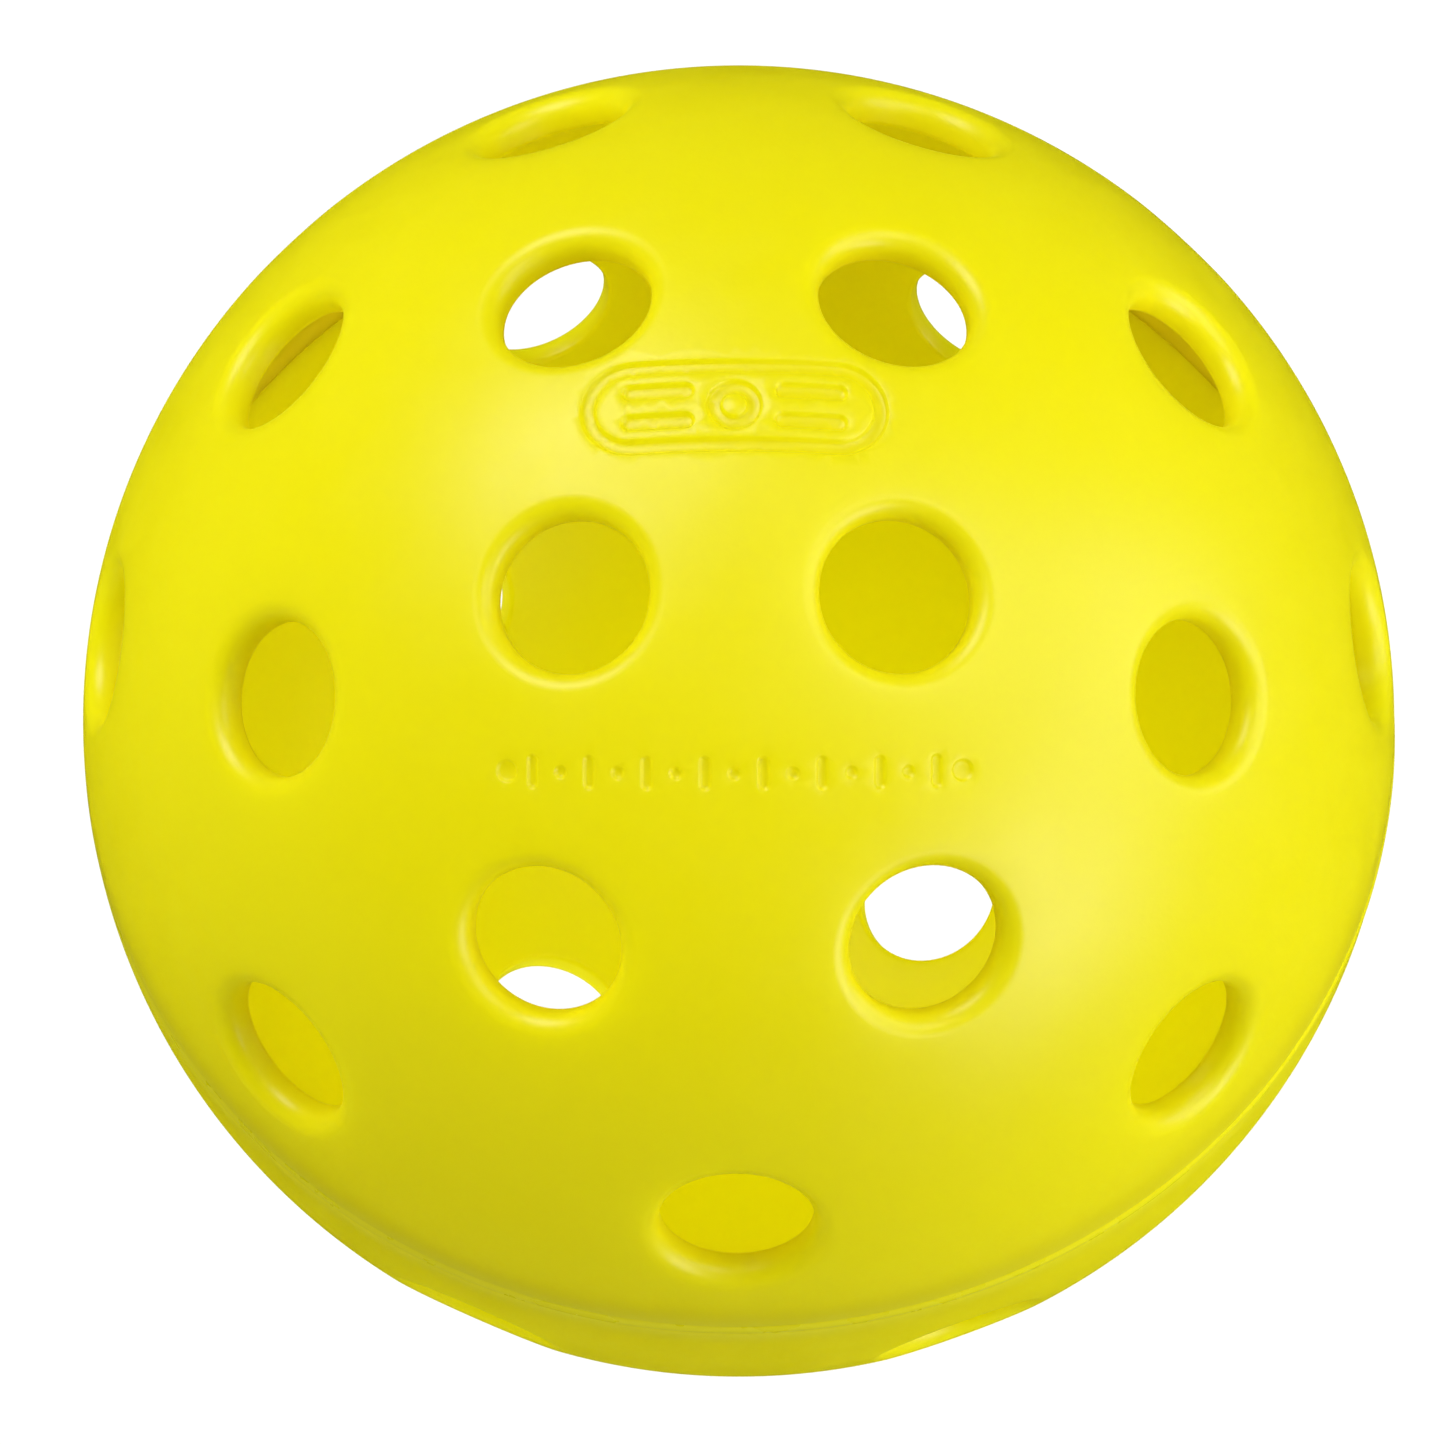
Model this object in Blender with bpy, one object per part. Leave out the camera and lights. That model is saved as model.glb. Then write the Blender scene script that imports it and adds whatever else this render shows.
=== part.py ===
"""A pickleball: two moulded half shells with radial round holes, joined by a weld at the equator.

The origin is the ball's centre. +Z is the pole of the upper half, normal to the weld's plane.
Each half has rings of four, eight and eight holes around its pole.
The lower half is turned about Z against the upper one, so its holes lie between the upper ones.
"""

import math

import bmesh
import bpy
from mathutils import Euler, Matrix

# Driving dimensions, in metres and degrees.
BALL_DIAMETER = 0.074
WALL = 0.0020
HOLE_DIAMETER = 0.0084
HOLE_EDGE = 0.0010  # width of the eased edge round each hole's mouth
LOWER_TURN = -24.5  # the lower half against the upper half's mirror image

# The rings of holes on each half: polar angle, how many holes, and the azimuth of the first.
HOLE_RINGS = [
    (19.8, 4, 45.0),
    (47.4, 8, 22.5),
    (74.0, 8, 0.0),
]

# The rims at the equator: a spigot on the upper half stands in a rebate of the lower half.
GAP = 0.0003  # between pieces that the weld joins
WELD_HALF_HEIGHT = 0.0003
WELD_PROUD = 0.00008  # how far the weld's outer edge stands above the shells
SPIGOT_THICKNESS = 0.00085
SPIGOT_REACH = 0.0012  # below the equator

# Fineness of the faceted surfaces.
SHELL_SIDES = 48
SHELL_ARC_STEPS = 11
HOLE_SIDES = 16

OUTER_RADIUS = BALL_DIAMETER / 2
INNER_RADIUS = OUTER_RADIUS - WALL
HOLE_RADIUS = HOLE_DIAMETER / 2
RIM_HEIGHT = WELD_HALF_HEIGHT + GAP
MERGE_DISTANCE = 1e-7
SMOOTH_ANGLE = math.radians(35)


def clear_scene():
    for item in list(bpy.data.objects):
        bpy.data.objects.remove(item, do_unlink=True)


def make_material(name, colour, roughness):
    material = bpy.data.materials.new(name)
    material.use_nodes = True
    shader = material.node_tree.nodes["Principled BSDF"]
    shader.inputs["Base Color"].default_value = (*colour, 1.0)
    shader.inputs["Roughness"].default_value = roughness
    shader.inputs["Metallic"].default_value = 0.0
    return material


def arc(radius, start, end, steps):
    """Points (distance from Z, height) on a circle about the centre, by polar angle in radians."""
    angles = [start + (end - start) * step / steps for step in range(steps + 1)]
    return [(radius * math.sin(angle), radius * math.cos(angle)) for angle in angles]


def turn(mesh, profile, sides, place=None, closed=False):
    """Spin a profile of (distance from Z, height) points about Z, and place the result."""
    corners = [mesh.verts.new((distance, 0.0, height)) for distance, height in profile]
    pairs = list(zip(corners, corners[1:]))
    if closed:
        pairs.append((corners[-1], corners[0]))
    edges = [mesh.edges.new(pair) for pair in pairs]
    before = set(mesh.verts)
    bmesh.ops.spin(
        mesh,
        geom=corners + edges,
        cent=(0, 0, 0),
        axis=(0, 0, 1),
        angle=math.tau,
        steps=sides,
        use_merge=True,
    )
    turned = corners + [corner for corner in mesh.verts if corner not in before]
    if place is not None:
        bmesh.ops.transform(mesh, matrix=place, verts=turned)


def add_object(name, mesh):
    """Weld the points that meet, face the surface outward, and link the mesh as an object."""
    bmesh.ops.remove_doubles(mesh, verts=mesh.verts, dist=MERGE_DISTANCE)
    bmesh.ops.recalc_face_normals(mesh, faces=mesh.faces)
    data = bpy.data.meshes.new(name)
    mesh.to_mesh(data)
    mesh.free()
    item = bpy.data.objects.new(name, data)
    bpy.context.scene.collection.objects.link(item)
    return item


def polar_angle(radius, height):
    return math.acos(height / radius)


def upper_profile():
    """From the outer pole down to the rim, round the spigot, and up to the inner pole."""
    spigot_radius = INNER_RADIUS + SPIGOT_THICKNESS
    outer = arc(OUTER_RADIUS, 0.0, polar_angle(OUTER_RADIUS, RIM_HEIGHT), SHELL_ARC_STEPS)
    spigot = [
        (spigot_radius, RIM_HEIGHT),
        (spigot_radius, -SPIGOT_REACH),
        (INNER_RADIUS, -SPIGOT_REACH),
    ]
    inner = arc(INNER_RADIUS, math.pi / 2, 0.0, SHELL_ARC_STEPS)
    return outer + spigot + inner


def lower_profile():
    """The lower half as it leaves its mould, pole up, with a rebate that clears the spigot."""
    rebate_radius = INNER_RADIUS + SPIGOT_THICKNESS + GAP
    rebate_height = SPIGOT_REACH + GAP
    outer = arc(OUTER_RADIUS, 0.0, polar_angle(OUTER_RADIUS, RIM_HEIGHT), SHELL_ARC_STEPS)
    rebate = [
        (rebate_radius, RIM_HEIGHT),
        (rebate_radius, rebate_height),
    ]
    inner_start = polar_angle(INNER_RADIUS, rebate_height)
    inner = arc(INNER_RADIUS, inner_start, 0.0, SHELL_ARC_STEPS)
    return outer + rebate + inner


def hole_cutter_profile():
    """A plug on Z through the wall: a straight bore that widens at the outer surface."""
    beyond = 2 * WALL
    edge_height = math.sqrt(OUTER_RADIUS**2 - (HOLE_RADIUS + HOLE_EDGE) ** 2)
    flare = HOLE_RADIUS + HOLE_EDGE + beyond
    return [
        (0.0, INNER_RADIUS - beyond),
        (HOLE_RADIUS, INNER_RADIUS - beyond),
        (HOLE_RADIUS, edge_height - HOLE_EDGE),
        (flare, edge_height + beyond),
        (0.0, edge_height + beyond),
    ]


def make_hole_cutter(name):
    """The plugs of every hole in one half, as one object that only cuts."""
    mesh = bmesh.new()
    for polar, count, first in HOLE_RINGS:
        for number in range(count):
            azimuth = first + number * 360.0 / count
            place = Euler((0, math.radians(polar), math.radians(azimuth))).to_matrix().to_4x4()
            turn(mesh, hole_cutter_profile(), HOLE_SIDES, place)
    cutter = add_object(name, mesh)
    cutter.hide_render = True
    cutter.display_type = "WIRE"
    return cutter


def make_half_shell(name, profile, material):
    """A half shell with its pole on +Z, and its twenty holes cut by a Boolean modifier."""
    mesh = bmesh.new()
    turn(mesh, profile, SHELL_SIDES)
    shell = add_object(name, mesh)
    shell.data.materials.append(material)
    shell.data.shade_smooth()
    shell.data.set_sharp_from_angle(angle=SMOOTH_ANGLE)
    cutter = make_hole_cutter(name + "_hole_cutter")
    cutter.parent = shell
    holes = shell.modifiers.new("Holes", "BOOLEAN")
    holes.operation = "DIFFERENCE"
    holes.solver = "EXACT"
    holes.object = cutter
    return shell


def make_seam_weld(material):
    """The ring of remelted plastic between the rims, rounded where it shows outside."""
    crown = OUTER_RADIUS + WELD_PROUD
    shoulder = OUTER_RADIUS
    root = INNER_RADIUS + SPIGOT_THICKNESS + GAP
    half = WELD_HALF_HEIGHT
    profile = [
        (root, half),
        (shoulder, half),
        (crown, half / 2),
        (crown, -half / 2),
        (shoulder, -half),
        (root, -half),
    ]
    mesh = bmesh.new()
    turn(mesh, profile, SHELL_SIDES, closed=True)
    weld = add_object("seam_weld", mesh)
    weld.data.materials.append(material)
    weld.data.shade_smooth()
    weld.data.set_sharp_from_angle(angle=SMOOTH_ANGLE)
    return weld


def make_ball():
    shell_plastic = make_material("shell_plastic", (0.78, 0.66, 0.01), 0.42)
    weld_plastic = make_material("weld_plastic", (0.82, 0.72, 0.03), 0.35)
    upper = make_half_shell("upper_half_shell", upper_profile(), shell_plastic)
    lower = make_half_shell("lower_half_shell", lower_profile(), shell_plastic)
    turned_over = Matrix.Rotation(math.radians(LOWER_TURN), 4, "Z") @ Matrix.Rotation(math.pi, 4, "X")
    lower.rotation_euler = turned_over.to_euler()
    weld = make_seam_weld(weld_plastic)
    ball = bpy.data.objects.new("ball_centre", None)
    bpy.context.scene.collection.objects.link(ball)
    for piece in (upper, lower, weld):
        piece.parent = ball


clear_scene()
make_ball()
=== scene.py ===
"""The looks of a pickleball: two moulded half shells with eased holes and shallow marks, and their weld.

Lengths are in metres. The shells are built as closed meshes: the outer and inner skins are
triangulated between the rings round the holes, and those rings carry the rounded mouths.
"""

import math

import bmesh
import bpy
import numpy as np
from mathutils import Matrix, Vector
from mathutils.geometry import delaunay_2d_cdt


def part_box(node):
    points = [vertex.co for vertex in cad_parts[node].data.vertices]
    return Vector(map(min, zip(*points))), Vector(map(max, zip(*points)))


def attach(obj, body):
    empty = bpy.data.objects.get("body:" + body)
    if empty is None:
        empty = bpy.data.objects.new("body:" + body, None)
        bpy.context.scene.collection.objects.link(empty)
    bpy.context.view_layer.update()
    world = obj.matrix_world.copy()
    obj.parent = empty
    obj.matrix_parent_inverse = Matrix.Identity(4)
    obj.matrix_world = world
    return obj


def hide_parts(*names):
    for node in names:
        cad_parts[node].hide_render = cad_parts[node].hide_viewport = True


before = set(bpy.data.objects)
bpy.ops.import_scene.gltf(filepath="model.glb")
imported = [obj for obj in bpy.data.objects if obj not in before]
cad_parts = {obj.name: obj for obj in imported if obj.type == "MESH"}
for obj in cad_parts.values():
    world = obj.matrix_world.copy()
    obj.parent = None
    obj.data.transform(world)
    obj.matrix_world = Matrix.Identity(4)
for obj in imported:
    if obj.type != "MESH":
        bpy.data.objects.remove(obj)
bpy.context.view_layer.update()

MM = 0.001

# The ball, from the frame.
BALL_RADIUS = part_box("upper_half_shell")[1].z
FLOOR_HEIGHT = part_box("lower_half_shell")[0].z
SPIGOT_DEPTH = -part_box("upper_half_shell")[0].z
WALL = 2.0 * MM
INNER_RADIUS = BALL_RADIUS - WALL

# The holes of each half: polar angle, how many, azimuth of the first.
HOLE_RINGS = [
    (19.8, 4, 45.0),
    (47.4, 8, 22.5),
    (74.0, 8, 0.0),
]
LOWER_TURN = -24.5
HOLE_RADIUS = 4.2 * MM
MOUTH_ROUND = 1.05 * MM  # radius of the rounded outer edge
BACK_ROUND = 0.3 * MM  # and of the inner one

# The rims and the weld between them.
RIM_HEIGHT = 0.34 * MM
RIM_ROUND = 0.05 * MM
SPIGOT_RADIUS = INNER_RADIUS + 0.85 * MM
SPIGOT_EASE = 0.1 * MM
FIT_GAP = 0.02 * MM
WELD_HALF = 0.31 * MM
NECK_DROP = 0.03 * MM  # the weld's band stops this far below the skins
NECK_SPREAD = 0.05 * MM  # and the bead starts this far beyond the band

# The bead over the weld: it stands highest on one side and sinks away round the ball.
BEAD_HALF = 0.50 * MM  # its feet spread this far over the shells
BEAD_FLOAT = 0.006 * MM  # and lie this far above them
BEAD_PROUD = 0.13 * MM
BEAD_FADE = 5  # how quickly it sinks away
BEAD_LEAST = 0.04  # of BEAD_PROUD, where it is lowest
BEAD_RISE = 0.90  # of BEAD_PROUD, added where it is highest
BEAD_STRONGEST = math.radians(-38.0)  # azimuth
BEAD_WAVES = [  # share of the height, waves round the ball, phase
    (0.06, 13, 2.1),
    (0.04, 31, 4.0),
]

# Fineness of the meshes.
HOLE_SEGMENTS = 72
RIM_SEGMENTS = 360
MOUTH_STEPS = 9
BACK_STEPS = 4
RIM_STEPS = 4
BEAD_STEPS = 12
OUTER_SPACING = 0.75 * MM
INNER_SPACING = 1.0 * MM
KEEP_OFF = 0.4  # of the spacing: free points stay this far from the rings
SAME_PLACE = 1e-9
SMOOTH_ANGLE = math.radians(50)

# The shallow marks on the upper half. Each is a groove or a sunk pad with round ends.
MARK_SLOPE = 0.22 * MM  # width of the sloping side
SLOPE_STEPS = (-0.5, -0.3, 0.0, 0.3, 0.5)  # of that width, out from the outline
MARK_STEP = 0.16 * MM  # round the ends
STRAIGHT_STEP = 1.5 * MARK_STEP
FEWEST_END_STEPS = 10

# A badge by the pole: a rounded band with a ring and four bars inside it.
BADGE_POLAR = -1.8
BADGE_DEPTH = 0.30 * MM
BADGE_REACH = 5.5 * MM
BADGE_RADIUS = 2.75 * MM
BADGE_BAND = 0.75 * MM
BADGE_RING = (1.45 * MM, 0.7 * MM)  # outer and inner radius
BADGE_BAR = (1.5 * MM, 0.42 * MM)  # half-length and radius
BADGE_BAR_PLACE = (4.1 * MM, 0.9 * MM)  # to each side, up and down

# A straight row of bars and dots in turn, between two larger dots.
ROW_POLAR = 29.6
ROW_DEPTH = 0.20 * MM
ROW_PITCH = 1.55 * MM
ROW_MARKS = 15
ROW_DOT = 0.3 * MM
ROW_BAR = (0.6 * MM, 0.26 * MM)  # half-length and radius
ROW_END_DOT = 0.55 * MM
ROW_END_PLACE = 12.3 * MM


def unit_rows(rows):
    return rows / np.linalg.norm(rows, axis=1)[:, None]


def hole_axes():
    """Unit vectors through the holes of a half whose pole is on +Z."""
    axes = []
    for polar, count, first in HOLE_RINGS:
        for number in range(count):
            azimuth = math.radians(first + number * 360.0 / count)
            tilt = math.radians(polar)
            axes.append(
                (
                    math.sin(tilt) * math.cos(azimuth),
                    math.sin(tilt) * math.sin(azimuth),
                    math.cos(tilt),
                )
            )
    return np.array(axes)


def circle_about(axis, distance, height, segments):
    """Points on a circle round an axis through the centre."""
    side = np.cross(axis, (0.0, 0.0, 1.0))
    side /= np.linalg.norm(side)
    other = np.cross(axis, side)
    angles = np.arange(segments) * math.tau / segments
    around = np.outer(np.cos(angles), side) + np.outer(np.sin(angles), other)
    return axis * height + around * distance


def mouth_profile():
    """(distance from the hole's axis, height) from the outer skin, through the wall, to the inner skin."""
    outer_centre = HOLE_RADIUS + MOUTH_ROUND
    outer_height = math.sqrt((BALL_RADIUS - MOUTH_ROUND) ** 2 - outer_centre**2)
    lean = math.asin(outer_centre / (BALL_RADIUS - MOUTH_ROUND))
    profile = []
    for step in range(MOUTH_STEPS + 1):
        turn = lean + (-math.pi / 2 - lean) * step / MOUTH_STEPS
        profile.append(
            (
                outer_centre + MOUTH_ROUND * math.sin(turn),
                outer_height + MOUTH_ROUND * math.cos(turn),
            )
        )
    inner_centre = HOLE_RADIUS + BACK_ROUND
    inner_height = math.sqrt((INNER_RADIUS + BACK_ROUND) ** 2 - inner_centre**2)
    lean = math.asin(inner_centre / (INNER_RADIUS + BACK_ROUND))
    for step in range(BACK_STEPS + 1):
        turn = -math.pi / 2 + (lean - math.pi / 2) * step / BACK_STEPS
        profile.append(
            (
                inner_centre + BACK_ROUND * math.sin(turn),
                inner_height + BACK_ROUND * math.cos(turn),
            )
        )
    return profile


def spread(spacing, radius, lowest):
    """Even points over the cap above a height, by the golden angle, as unit vectors."""
    count = int(math.tau * radius * (radius - lowest) / (spacing**2 * math.sqrt(3) / 2))
    number = np.arange(count) + 0.5
    height = 1.0 - number / count * (1.0 - lowest / radius)
    azimuth = number * math.pi * (3.0 - math.sqrt(5.0))
    flat = np.sqrt(1.0 - height**2)
    return np.column_stack((flat * np.cos(azimuth), flat * np.sin(azimuth), height))


def triangulate(loops, free):
    """Triangles over unit vectors, in a projection that keeps angles, with every loop kept as edges."""
    points = np.vstack(loops + [free])
    flat = points[:, :2] / (1.0 + points[:, 2:3])
    edges = []
    start = 0
    for loop in loops:
        count = len(loop)
        edges += [(start + k, start + (k + 1) % count) for k in range(count)]
        start += count
    corners = [Vector(row) for row in flat.tolist()]
    made = delaunay_2d_cdt(corners, edges, [], 0, SAME_PLACE)
    source = [ids[0] for ids in made[3]]
    triangles = np.array([[source[corner] for corner in face] for face in made[2]])
    return points, triangles


def drop_inside(points, triangles, axes, reach):
    """Leaves out the triangles that span a hole."""
    middles = unit_rows(points[triangles].mean(axis=1))
    spans = (middles @ axes.T).max(axis=1) > math.cos(reach)
    return triangles[~spans]


# ---- marks ----


class Stadium:
    """A shape with round ends in a patch of the skin: a segment of half-length reach, grown by a radius."""

    def __init__(self, centre, reach, radius, angle=0.0):
        self.centre = np.array(centre)
        self.reach = reach
        self.radius = radius
        self.along = np.array((math.cos(angle), math.sin(angle)))
        self.across = np.array((-self.along[1], self.along[0]))

    def distance(self, places):
        """Signed distance of patch places from the outline, negative inside."""
        offset = places - self.centre
        along = np.clip(offset @ self.along, -self.reach, self.reach)
        return np.linalg.norm(offset - np.outer(along, self.along), axis=1) - self.radius

    def outline(self, grow):
        """Points along the outline grown by a distance; the count doesn't depend on it."""
        radius = self.radius + grow
        arc = max(FEWEST_END_STEPS, round(math.pi * self.radius / MARK_STEP))
        run = max(1, round(2 * self.reach / STRAIGHT_STEP)) if self.reach else 0
        places = []
        for end in (1, -1):
            tip = self.centre + self.along * self.reach * end
            for step in range(arc + (1 if run else 0)):
                turn = -math.pi / 2 + math.pi * step / arc
                direction = self.along * math.cos(turn) + self.across * math.sin(turn)
                places.append(tip + direction * radius * end)
            if run:
                side = self.across * radius * end
                for step in range(1, run):
                    slide = self.reach * (1 - 2 * step / run) * end
                    places.append(self.centre + self.along * slide + side)
        return np.array(places)


class Patch:
    """A piece of the skin with its own flat coordinates: along a great circle, and to either side of it."""

    def __init__(self, polar, depth):
        tilt = math.radians(polar)
        self.middle = np.array((0.0, -math.sin(tilt), math.cos(tilt)))
        self.right = np.array((1.0, 0.0, 0.0))
        self.up = np.cross(self.middle, self.right)
        self.depth = depth
        self.sunk = []  # (outline that sinks, outlines inside it that rise again)

    def directions(self, places):
        along = places[:, 0] / BALL_RADIUS
        aside = places[:, 1] / BALL_RADIUS
        ring = np.outer(np.cos(along), self.middle) + np.outer(np.sin(along), self.right)
        return ring * np.cos(aside)[:, None] + np.outer(np.sin(aside), self.up)

    def places(self, directions):
        along = np.arctan2(directions @ self.right, directions @ self.middle)
        aside = np.arcsin(np.clip(directions @ self.up, -1, 1))
        return np.column_stack((along, aside)) * BALL_RADIUS

    def edges(self):
        """Every outline, with the sign of the side that is sunk."""
        for outer, inner in self.sunk:
            yield outer, 1
            for shape in inner:
                yield shape, -1

    def loops(self):
        """Rings of unit vectors along each sloping side, and how deep each lies."""
        for shape, side in self.edges():
            for step in SLOPE_STEPS:
                share = 0.5 - step * side
                depth = self.depth * share * share * (3 - 2 * share)
                yield self.directions(shape.outline(step * MARK_SLOPE)), depth

    def sink(self, directions):
        """Depth at free points, and whether they clear every sloping side."""
        places = self.places(directions)
        front = directions @ self.middle > 0.5
        depth = np.zeros(len(directions))
        clear = np.ones(len(directions), bool)
        for outer, inner in self.sunk:
            inside = outer.distance(places) < 0
            for shape in inner:
                inside &= shape.distance(places) > 0
            depth[inside & front] = self.depth
        for shape, _side in self.edges():
            margin = MARK_SLOPE / 2 + KEEP_OFF * MARK_STEP
            clear &= ~(front & (np.abs(shape.distance(places)) < margin))
        return depth, clear


def badge():
    patch = Patch(BADGE_POLAR, BADGE_DEPTH)
    outside = Stadium((0, 0), BADGE_REACH, BADGE_RADIUS)
    inside = Stadium((0, 0), BADGE_REACH, BADGE_RADIUS - BADGE_BAND)
    patch.sunk.append((outside, [inside]))
    outside, inside = [Stadium((0, 0), 0, radius) for radius in BADGE_RING]
    patch.sunk.append((outside, [inside]))
    across, up = BADGE_BAR_PLACE
    for side in (-1, 1):
        for height in (up, -up):
            patch.sunk.append((Stadium((side * across, height), *BADGE_BAR), []))
    return patch


def mark_row():
    patch = Patch(ROW_POLAR, ROW_DEPTH)
    for number in range(ROW_MARKS):
        place = (number - (ROW_MARKS - 1) / 2) * ROW_PITCH
        if number % 2:
            patch.sunk.append((Stadium((place, 0), 0, ROW_DOT), []))
        else:
            patch.sunk.append((Stadium((place, 0), *ROW_BAR, math.pi / 2), []))
    for side in (-1, 1):
        patch.sunk.append((Stadium((side * ROW_END_PLACE, 0), 0, ROW_END_DOT), []))
    return patch


# ---- meshes ----


def skin(radius, spacing, rim_height, axes, reach, patches):
    """One skin of a half shell: its points, and the triangles between them."""
    loops = [
        circle_about(axis, math.sin(reach), math.cos(reach), HOLE_SEGMENTS) for axis in axes
    ]
    rim_polar = math.acos(rim_height / radius)
    pole = np.array((0.0, 0.0, 1.0))
    angles = np.arange(RIM_SEGMENTS) * math.tau / RIM_SEGMENTS
    rim = np.column_stack((np.cos(angles), np.sin(angles), np.zeros(RIM_SEGMENTS)))
    loops.append(rim * math.sin(rim_polar) + pole * math.cos(rim_polar))
    sinks = [0.0] * (len(axes) * HOLE_SEGMENTS + RIM_SEGMENTS)
    for patch in patches:
        for loop, depth in patch.loops():
            loops.append(loop)
            sinks += [depth] * len(loop)
    margin = KEEP_OFF * spacing / radius
    free = spread(spacing, radius, rim_height)
    clear = (free @ axes.T).max(axis=1) < math.cos(reach + margin)
    clear &= free[:, 2] > math.cos(rim_polar - margin)
    free = free[clear]
    depth = np.zeros(len(free))
    for patch in patches:
        sunk, clear = patch.sink(free)
        free, depth = free[clear], (depth + sunk)[clear]
    points, triangles = triangulate(loops, free)
    triangles = drop_inside(points, triangles, axes, reach)
    heights = radius - np.concatenate((np.array(sinks), depth))
    return points * heights[:, None], triangles


def strip(lower, upper):
    """Quads between two closed rows of point numbers of the same length."""
    count = len(lower)
    return [
        (lower[k], lower[(k + 1) % count], upper[(k + 1) % count], upper[k])
        for k in range(count)
    ]


def lathe_rows(profile, segments):
    """Rows of points, one for each (distance from Z, height)."""
    angles = np.arange(segments) * math.tau / segments
    return [
        np.column_stack(
            (distance * np.cos(angles), distance * np.sin(angles), np.full(segments, height))
        )
        for distance, height in profile
    ]


def make_piece(name, points, faces, material, node, place=None):
    """A closed mesh object that rides on the body and stands for a CAD node."""
    data = bpy.data.meshes.new(name)
    data.from_pydata(points.tolist(), [], faces)
    data.validate()
    if place is not None:
        data.transform(place)
    piece = bpy.data.objects.new(name, data)
    bpy.context.scene.collection.objects.link(piece)
    face_outward(data)
    data.materials.append(material)
    data.shade_smooth()
    data.set_sharp_from_angle(angle=SMOOTH_ANGLE)
    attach(piece, "root")
    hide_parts(node)
    return piece


def face_outward(data):
    mesh = bmesh.new()
    mesh.from_mesh(data)
    bmesh.ops.recalc_face_normals(mesh, faces=mesh.faces)
    mesh.to_mesh(data)
    mesh.free()


def half_shell(name, node, rim_profile, inner_rim_height, patches, material, place=None):
    """A half shell with its pole on +Z. rim_profile runs from the outer skin's edge to the inner skin's."""
    axes = hole_axes()
    profile = mouth_profile()
    outer_reach = math.atan2(*profile[0])
    inner_reach = math.atan2(*profile[-1])
    outer, outer_faces = skin(
        BALL_RADIUS, OUTER_SPACING, rim_profile[0][1], axes, outer_reach, patches
    )
    inner, inner_faces = skin(
        INNER_RADIUS, INNER_SPACING, inner_rim_height, axes, inner_reach, []
    )
    points = [outer, inner]
    faces = outer_faces.tolist()
    first_inner = len(outer)
    faces += (inner_faces[:, ::-1] + first_inner).tolist()
    total = len(outer) + len(inner)
    for number, axis in enumerate(axes):
        start = number * HOLE_SEGMENTS
        row = list(range(start, start + HOLE_SEGMENTS))
        for distance, height in profile[1:-1]:
            points.append(circle_about(axis, distance, height, HOLE_SEGMENTS))
            following = list(range(total, total + HOLE_SEGMENTS))
            total += HOLE_SEGMENTS
            faces += strip(row, following)
            row = following
        faces += strip(row, list(range(first_inner + start, first_inner + start + HOLE_SEGMENTS)))
    start = len(axes) * HOLE_SEGMENTS
    row = list(range(start, start + RIM_SEGMENTS))
    for ring in lathe_rows(rim_profile[1:-1], RIM_SEGMENTS):
        points.append(ring)
        following = list(range(total, total + RIM_SEGMENTS))
        total += RIM_SEGMENTS
        faces += strip(row, following)
        row = following
    faces += strip(row, list(range(first_inner + start, first_inner + start + RIM_SEGMENTS)))
    return make_piece(name, np.vstack(points), faces, material, node, place)


def rounded_rim():
    """The rim's outer corner, from the skin down to the flat of the rim."""
    centre_height = RIM_HEIGHT + RIM_ROUND
    centre = math.sqrt((BALL_RADIUS - RIM_ROUND) ** 2 - centre_height**2)
    lean = math.acos(centre_height / (BALL_RADIUS - RIM_ROUND))
    corner = []
    for step in range(RIM_STEPS + 1):
        turn = lean + (math.pi - lean) * step / RIM_STEPS
        corner.append(
            (centre + RIM_ROUND * math.sin(turn), centre_height + RIM_ROUND * math.cos(turn))
        )
    return corner


def upper_rim():
    return rounded_rim() + [
        (SPIGOT_RADIUS, RIM_HEIGHT),
        (SPIGOT_RADIUS, -SPIGOT_DEPTH + SPIGOT_EASE),
        (SPIGOT_RADIUS - SPIGOT_EASE, -SPIGOT_DEPTH),
        (INNER_RADIUS, -SPIGOT_DEPTH),
        (INNER_RADIUS, 0.0),
    ]


def lower_rim():
    rebate = SPIGOT_RADIUS + FIT_GAP
    height = SPIGOT_DEPTH + FIT_GAP
    return rounded_rim() + [
        (rebate, RIM_HEIGHT),
        (rebate, height),
        (math.sqrt(INNER_RADIUS**2 - height**2), height),
    ]


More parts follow.
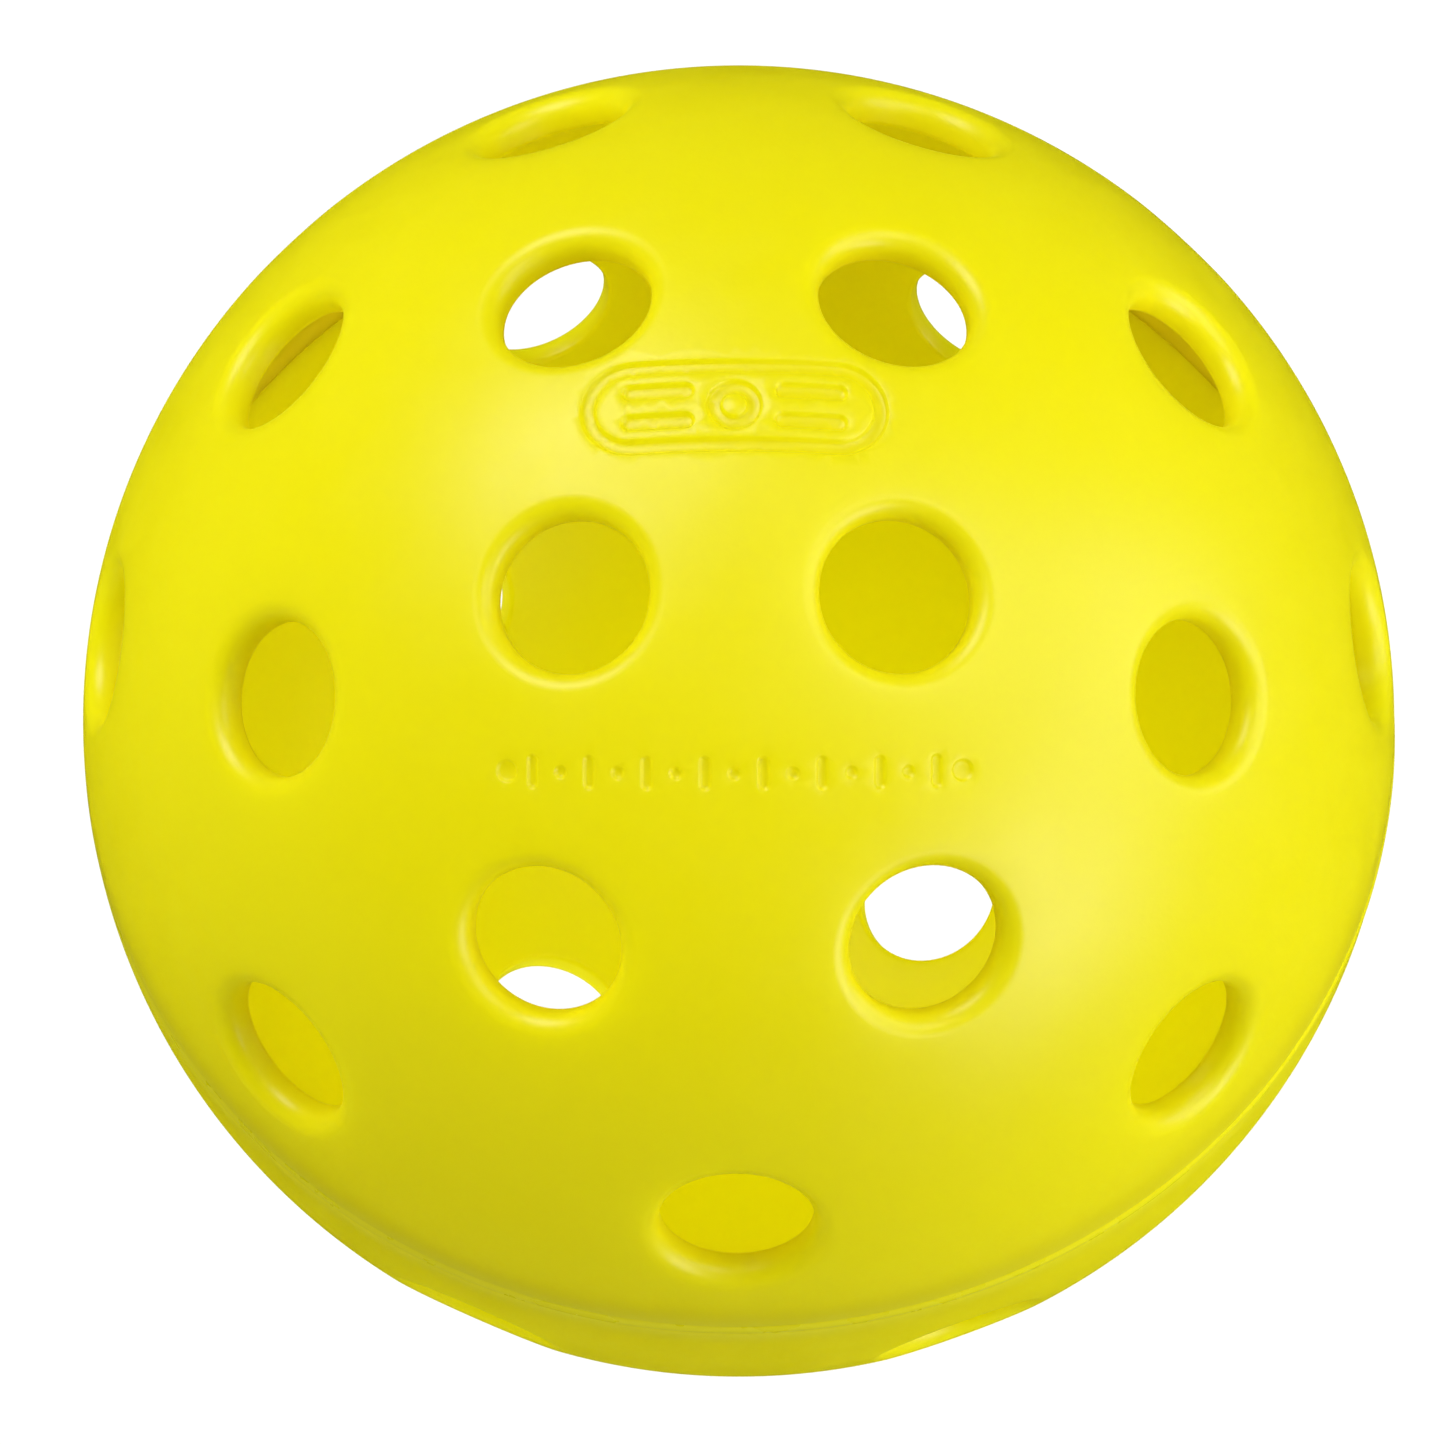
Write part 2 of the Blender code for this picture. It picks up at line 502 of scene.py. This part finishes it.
def weld_ring(material):
    """The remelted plastic: a band between the rims, and outside it a low bead that spreads over them."""
    root = SPIGOT_RADIUS + FIT_GAP
    under = BALL_RADIUS + BEAD_FLOAT / 2
    neck = [
        (under, -WELD_HALF - NECK_SPREAD),
        (BALL_RADIUS - NECK_DROP, -WELD_HALF),
        (root, -WELD_HALF),
        (root, WELD_HALF),
        (BALL_RADIUS - NECK_DROP, WELD_HALF),
        (under, WELD_HALF + NECK_SPREAD),
    ]
    angles = np.arange(RIM_SEGMENTS) * math.tau / RIM_SEGMENTS
    nearness = (1 + np.cos(angles - BEAD_STRONGEST)) / 2
    swell = BEAD_LEAST + BEAD_RISE * nearness**BEAD_FADE
    swell *= 1 + sum(size * np.sin(count * angles + phase) for size, count, phase in BEAD_WAVES)
    rows = []
    for step in range(BEAD_STEPS + 1):
        share = step / BEAD_STEPS
        height = BEAD_HALF * math.cos(math.pi * share)
        lift = BEAD_FLOAT + BEAD_PROUD * math.sin(math.pi * share) ** 2 * swell
        distance = math.sqrt(BALL_RADIUS**2 - height**2) + lift
        rows.append(
            np.column_stack(
                (
                    distance * np.cos(angles),
                    distance * np.sin(angles),
                    np.full(RIM_SEGMENTS, height),
                )
            )
        )
    rows += lathe_rows(neck, RIM_SEGMENTS)
    numbers = [
        list(range(k * RIM_SEGMENTS, (k + 1) * RIM_SEGMENTS)) for k in range(len(rows))
    ]
    faces = []
    for k in range(len(rows)):
        faces += strip(numbers[k], numbers[(k + 1) % len(rows)])
    return make_piece(
        "weld_bead_surface", np.vstack(rows), faces, material, "seam_weld"
    )


# ---- materials ----

# Shell and weld: two colours that shift softly into each other, roughness, strength of the grain.
SHELL_LOOK = ((0.90, 0.81, 0.002), (0.96, 0.86, 0.004), 0.36, 0.25)
WELD_LOOK = ((0.91, 0.82, 0.002), (0.96, 0.86, 0.004), 0.28, 0.15)
TRANSLUCENCY = 0.7
SCATTER_RADIUS = (0.9, 1.0, 0.1)
SCATTER_SCALE = 0.012
DENSE_REACH = 2.4 * MM  # the plastic lets less light through within this height of the weld
DENSE_COLOUR = (0.93, 0.86, 0.003)
SPECULAR_LEVEL = 0.4
PLASTIC_IOR = 1.46

# Noise patterns over the plastic: scale, detail, roughness.
COLOUR_NOISE = (45.0, 3.0, 0.55)
GLOSS_NOISE = (320.0, 3.0, 0.6)
WAVE_NOISE = (110.0, 1.0, 0.4)
GRAIN_NOISE = (2600.0, 2.0, 0.6)
NOISE_SPAN = (0.3, 0.7)  # where most of a noise pattern's values lie
GLOSS_SPREAD = (-0.04, 0.05)  # of the roughness
WAVE_HEIGHT = 0.12 * MM
WAVE_STRENGTH = 0.25
GRAIN_HEIGHT = 0.03 * MM


def new_material(name):
    material = bpy.data.materials.new(name)
    material.use_nodes = True
    tree = material.node_tree
    shader = tree.nodes["Principled BSDF"]
    return material, tree, shader


def noise(tree, where, pattern):
    scale, detail, roughness = pattern
    node = tree.nodes.new("ShaderNodeTexNoise")
    node.inputs["Scale"].default_value = scale
    node.inputs["Detail"].default_value = detail
    node.inputs["Roughness"].default_value = roughness
    tree.links.new(where, node.inputs["Vector"])
    return node.outputs["Fac"]


def spread_values(tree, value, low, high):
    node = tree.nodes.new("ShaderNodeMapRange")
    node.inputs["From Min"].default_value = NOISE_SPAN[0]
    node.inputs["From Max"].default_value = NOISE_SPAN[1]
    node.inputs["To Min"].default_value = low
    node.inputs["To Max"].default_value = high
    tree.links.new(value, node.inputs["Value"])
    return node.outputs["Result"]


def bump(tree, height, distance, strength, below=None):
    node = tree.nodes.new("ShaderNodeBump")
    node.inputs["Distance"].default_value = distance
    node.inputs["Strength"].default_value = strength
    tree.links.new(height, node.inputs["Height"])
    if below is not None:
        tree.links.new(below, node.inputs["Normal"])
    return node.outputs["Normal"]


def plastic(name, deep, pale, roughness, grain):
    """Moulded, slightly translucent plastic: soft shifts of colour, uneven gloss and a fine grain."""
    material, tree, shader = new_material(name)
    where = tree.nodes.new("ShaderNodeTexCoord").outputs["Object"]
    colour = tree.nodes.new("ShaderNodeMix")
    colour.data_type = "RGBA"
    colour.inputs["A"].default_value = (*deep, 1.0)
    colour.inputs["B"].default_value = (*pale, 1.0)
    tree.links.new(noise(tree, where, COLOUR_NOISE), colour.inputs["Factor"])
    height = tree.nodes.new("ShaderNodeMath")
    height.operation = "ABSOLUTE"
    axes = tree.nodes.new("ShaderNodeSeparateXYZ")
    tree.links.new(where, axes.inputs["Vector"])
    tree.links.new(axes.outputs["Z"], height.inputs[0])
    through = tree.nodes.new("ShaderNodeMapRange")
    through.interpolation_type = "SMOOTHSTEP"
    through.inputs["From Max"].default_value = DENSE_REACH
    through.inputs["To Max"].default_value = TRANSLUCENCY
    tree.links.new(height.outputs["Value"], through.inputs["Value"])
    tree.links.new(through.outputs["Result"], shader.inputs["Subsurface Weight"])
    dense = tree.nodes.new("ShaderNodeMix")
    dense.data_type = "RGBA"
    dense.inputs["A"].default_value = (*DENSE_COLOUR, 1.0)
    tree.links.new(through.outputs["Result"], dense.inputs["Factor"])
    tree.links.new(colour.outputs["Result"], dense.inputs["B"])
    tree.links.new(dense.outputs["Result"], shader.inputs["Base Color"])
    low, high = [roughness + change for change in GLOSS_SPREAD]
    gloss = spread_values(tree, noise(tree, where, GLOSS_NOISE), low, high)
    tree.links.new(gloss, shader.inputs["Roughness"])
    waves = bump(tree, noise(tree, where, WAVE_NOISE), WAVE_HEIGHT, WAVE_STRENGTH)
    fine = bump(tree, noise(tree, where, GRAIN_NOISE), GRAIN_HEIGHT, grain, waves)
    tree.links.new(fine, shader.inputs["Normal"])
    shader.inputs["Subsurface Radius"].default_value = SCATTER_RADIUS
    shader.inputs["Subsurface Scale"].default_value = SCATTER_SCALE
    shader.inputs["Specular IOR Level"].default_value = SPECULAR_LEVEL
    shader.inputs["IOR"].default_value = PLASTIC_IOR
    return material


# ---- stage ----

DIFFUSE_BOUNCES = 12  # light goes round inside the hollow ball many times
OTHER_BOUNCES = 4

# The floor: how brightly it shows, and how brightly it lights the ball from near by and further off.
FLOOR_HALF_SIZE = 6.0
FLOOR_TONE = 0.05
FLOOR_ROUGHNESS = 0.9
FLOOR_SHOWS = 1.0
FLOOR_GLOW_NEAR = 1.15
FLOOR_GLOW_FAR = 0.43
GLOW_EDGE = (0.045, 0.090)  # the glow falls between these distances
WHITE = (1.0, 1.0, 1.0, 1.0)


def make_floor():
    size = FLOOR_HALF_SIZE
    data = bpy.data.meshes.new("floor")
    corners = [(-size, -size, 0), (size, -size, 0), (size, size, 0), (-size, size, 0)]
    data.from_pydata(corners, [], [(0, 1, 2, 3)])
    floor = bpy.data.objects.new("floor", data)
    floor.location.z = FLOOR_HEIGHT
    bpy.context.scene.collection.objects.link(floor)
    material, tree, shader = new_material("floor_white")
    shader.inputs["Base Color"].default_value = (FLOOR_TONE, FLOOR_TONE, FLOOR_TONE, 1.0)
    shader.inputs["Roughness"].default_value = FLOOR_ROUGHNESS
    shader.inputs["Specular IOR Level"].default_value = 0.0
    shader.inputs["Emission Color"].default_value = WHITE
    reach = tree.nodes.new("ShaderNodeVectorMath")
    reach.operation = "LENGTH"
    where = tree.nodes.new("ShaderNodeTexCoord").outputs["Object"]
    tree.links.new(where, reach.inputs[0])
    glow = tree.nodes.new("ShaderNodeMapRange")
    glow.interpolation_type = "SMOOTHSTEP"
    glow.inputs["From Min"].default_value = GLOW_EDGE[0]
    glow.inputs["From Max"].default_value = GLOW_EDGE[1]
    glow.inputs["To Min"].default_value = FLOOR_GLOW_NEAR
    glow.inputs["To Max"].default_value = FLOOR_GLOW_FAR
    tree.links.new(reach.outputs["Value"], glow.inputs["Value"])
    choice = tree.nodes.new("ShaderNodeMix")
    choice.inputs["B"].default_value = FLOOR_SHOWS
    seen = tree.nodes.new("ShaderNodeLightPath").outputs["Is Camera Ray"]
    tree.links.new(seen, choice.inputs["Factor"])
    tree.links.new(glow.outputs["Result"], choice.inputs["A"])
    tree.links.new(choice.outputs["Result"], shader.inputs["Emission Strength"])
    data.materials.append(material)
    floor.visible_glossy = False


# Square soft lights at one distance: elevation, azimuth from the camera's side, power in watts,
# and whether the light leaves a sheen or only fills.
LIGHT_DISTANCE = 0.75
LIGHT_SIZE = 0.45
SOFT_LIGHTS = [
    (58.0, 85.0, 1.6, True),
    (14.0, 50.0, 3.0, True),
    (20.0, 90.0, 1.8, True),
    (10.0, 180.0, 0.8, False),
    (58.0, 225.0, 3.8, True),
    (15.0, 280.0, 2.8, False),
]


def area_light(name, place, size, power, sheen):
    """A square soft light that looks at the ball."""
    data = bpy.data.lights.new(name, "AREA")
    data.size = size
    data.energy = power
    light = bpy.data.objects.new(name, data)
    light.location = place
    light.rotation_euler = (-Vector(place)).to_track_quat("-Z", "Y").to_euler()
    light.visible_camera = False
    light.visible_glossy = sheen
    bpy.context.scene.collection.objects.link(light)


def make_lights():
    for number, (elevation, azimuth, power, sheen) in enumerate(SOFT_LIGHTS, 1):
        tilt = math.radians(elevation)
        turn = math.radians(azimuth)
        place = (
            LIGHT_DISTANCE * math.cos(tilt) * math.sin(turn),
            -LIGHT_DISTANCE * math.cos(tilt) * math.cos(turn),
            LIGHT_DISTANCE * math.sin(tilt),
        )
        area_light("soft_light_%d" % number, place, LIGHT_SIZE, power, sheen)
    world = bpy.data.worlds.new("studio")
    world.use_nodes = True
    background = world.node_tree.nodes["Background"]
    background.inputs["Color"].default_value = WHITE
    background.inputs["Strength"].default_value = 1.0
    world.cycles_visibility.diffuse = False
    world.cycles_visibility.glossy = False
    bpy.context.scene.world = world


# ---- camera ----

CAMERA_ELEVATION = math.radians(64.70)
CAMERA_AZIMUTH = math.radians(0.83)
CAMERA_ROLL = math.radians(-0.84)
CAMERA_DISTANCE = 0.54131
SENSOR_WIDTH = 36.0
PICTURE_RADIUS = 0.4538  # the ball's radius as a share of the picture's width
PICTURE_OFFSET = (0.01121, 0.00104)  # the ball's centre right of and above the picture's


def make_camera():
    back = Vector(
        (
            math.sin(CAMERA_AZIMUTH) * math.cos(CAMERA_ELEVATION),
            -math.cos(CAMERA_AZIMUTH) * math.cos(CAMERA_ELEVATION),
            math.sin(CAMERA_ELEVATION),
        )
    )
    level = Vector((math.cos(CAMERA_AZIMUTH), math.sin(CAMERA_AZIMUTH), 0.0))
    upright = back.cross(level)
    right = level * math.cos(CAMERA_ROLL) + upright * math.sin(CAMERA_ROLL)
    up = upright * math.cos(CAMERA_ROLL) - level * math.sin(CAMERA_ROLL)
    data = bpy.data.cameras.new("camera")
    data.sensor_width = SENSOR_WIDTH
    spread_of_ball = BALL_RADIUS / math.sqrt(CAMERA_DISTANCE**2 - BALL_RADIUS**2)
    data.lens = SENSOR_WIDTH * PICTURE_RADIUS / spread_of_ball
    data.shift_x = -PICTURE_OFFSET[0]
    data.shift_y = -PICTURE_OFFSET[1]
    camera = bpy.data.objects.new("camera", data)
    turn = Matrix((right, up, back)).transposed().to_4x4()
    camera.matrix_world = Matrix.Translation(back * CAMERA_DISTANCE) @ turn
    bpy.context.scene.collection.objects.link(camera)
    bpy.context.scene.camera = camera


make_camera()
make_floor()
make_lights()
bpy.context.scene.view_settings.view_transform = "Standard"
bpy.context.scene.cycles.diffuse_bounces = DIFFUSE_BOUNCES
bpy.context.scene.cycles.max_bounces = DIFFUSE_BOUNCES + OTHER_BOUNCES

shell_material = plastic("shell_plastic", *SHELL_LOOK)
weld_material = plastic("weld_plastic", *WELD_LOOK)
turned_over = Matrix.Rotation(math.radians(LOWER_TURN), 4, "Z") @ Matrix.Rotation(math.pi, 4, "X")
half_shell(
    "upper_shell_surface",
    "upper_half_shell",
    upper_rim(),
    0.0,
    [badge(), mark_row()],
    shell_material,
)
half_shell(
    "lower_shell_surface",
    "lower_half_shell",
    lower_rim(),
    SPIGOT_DEPTH + FIT_GAP,
    [],
    shell_material,
    turned_over,
)
weld_ring(weld_material)
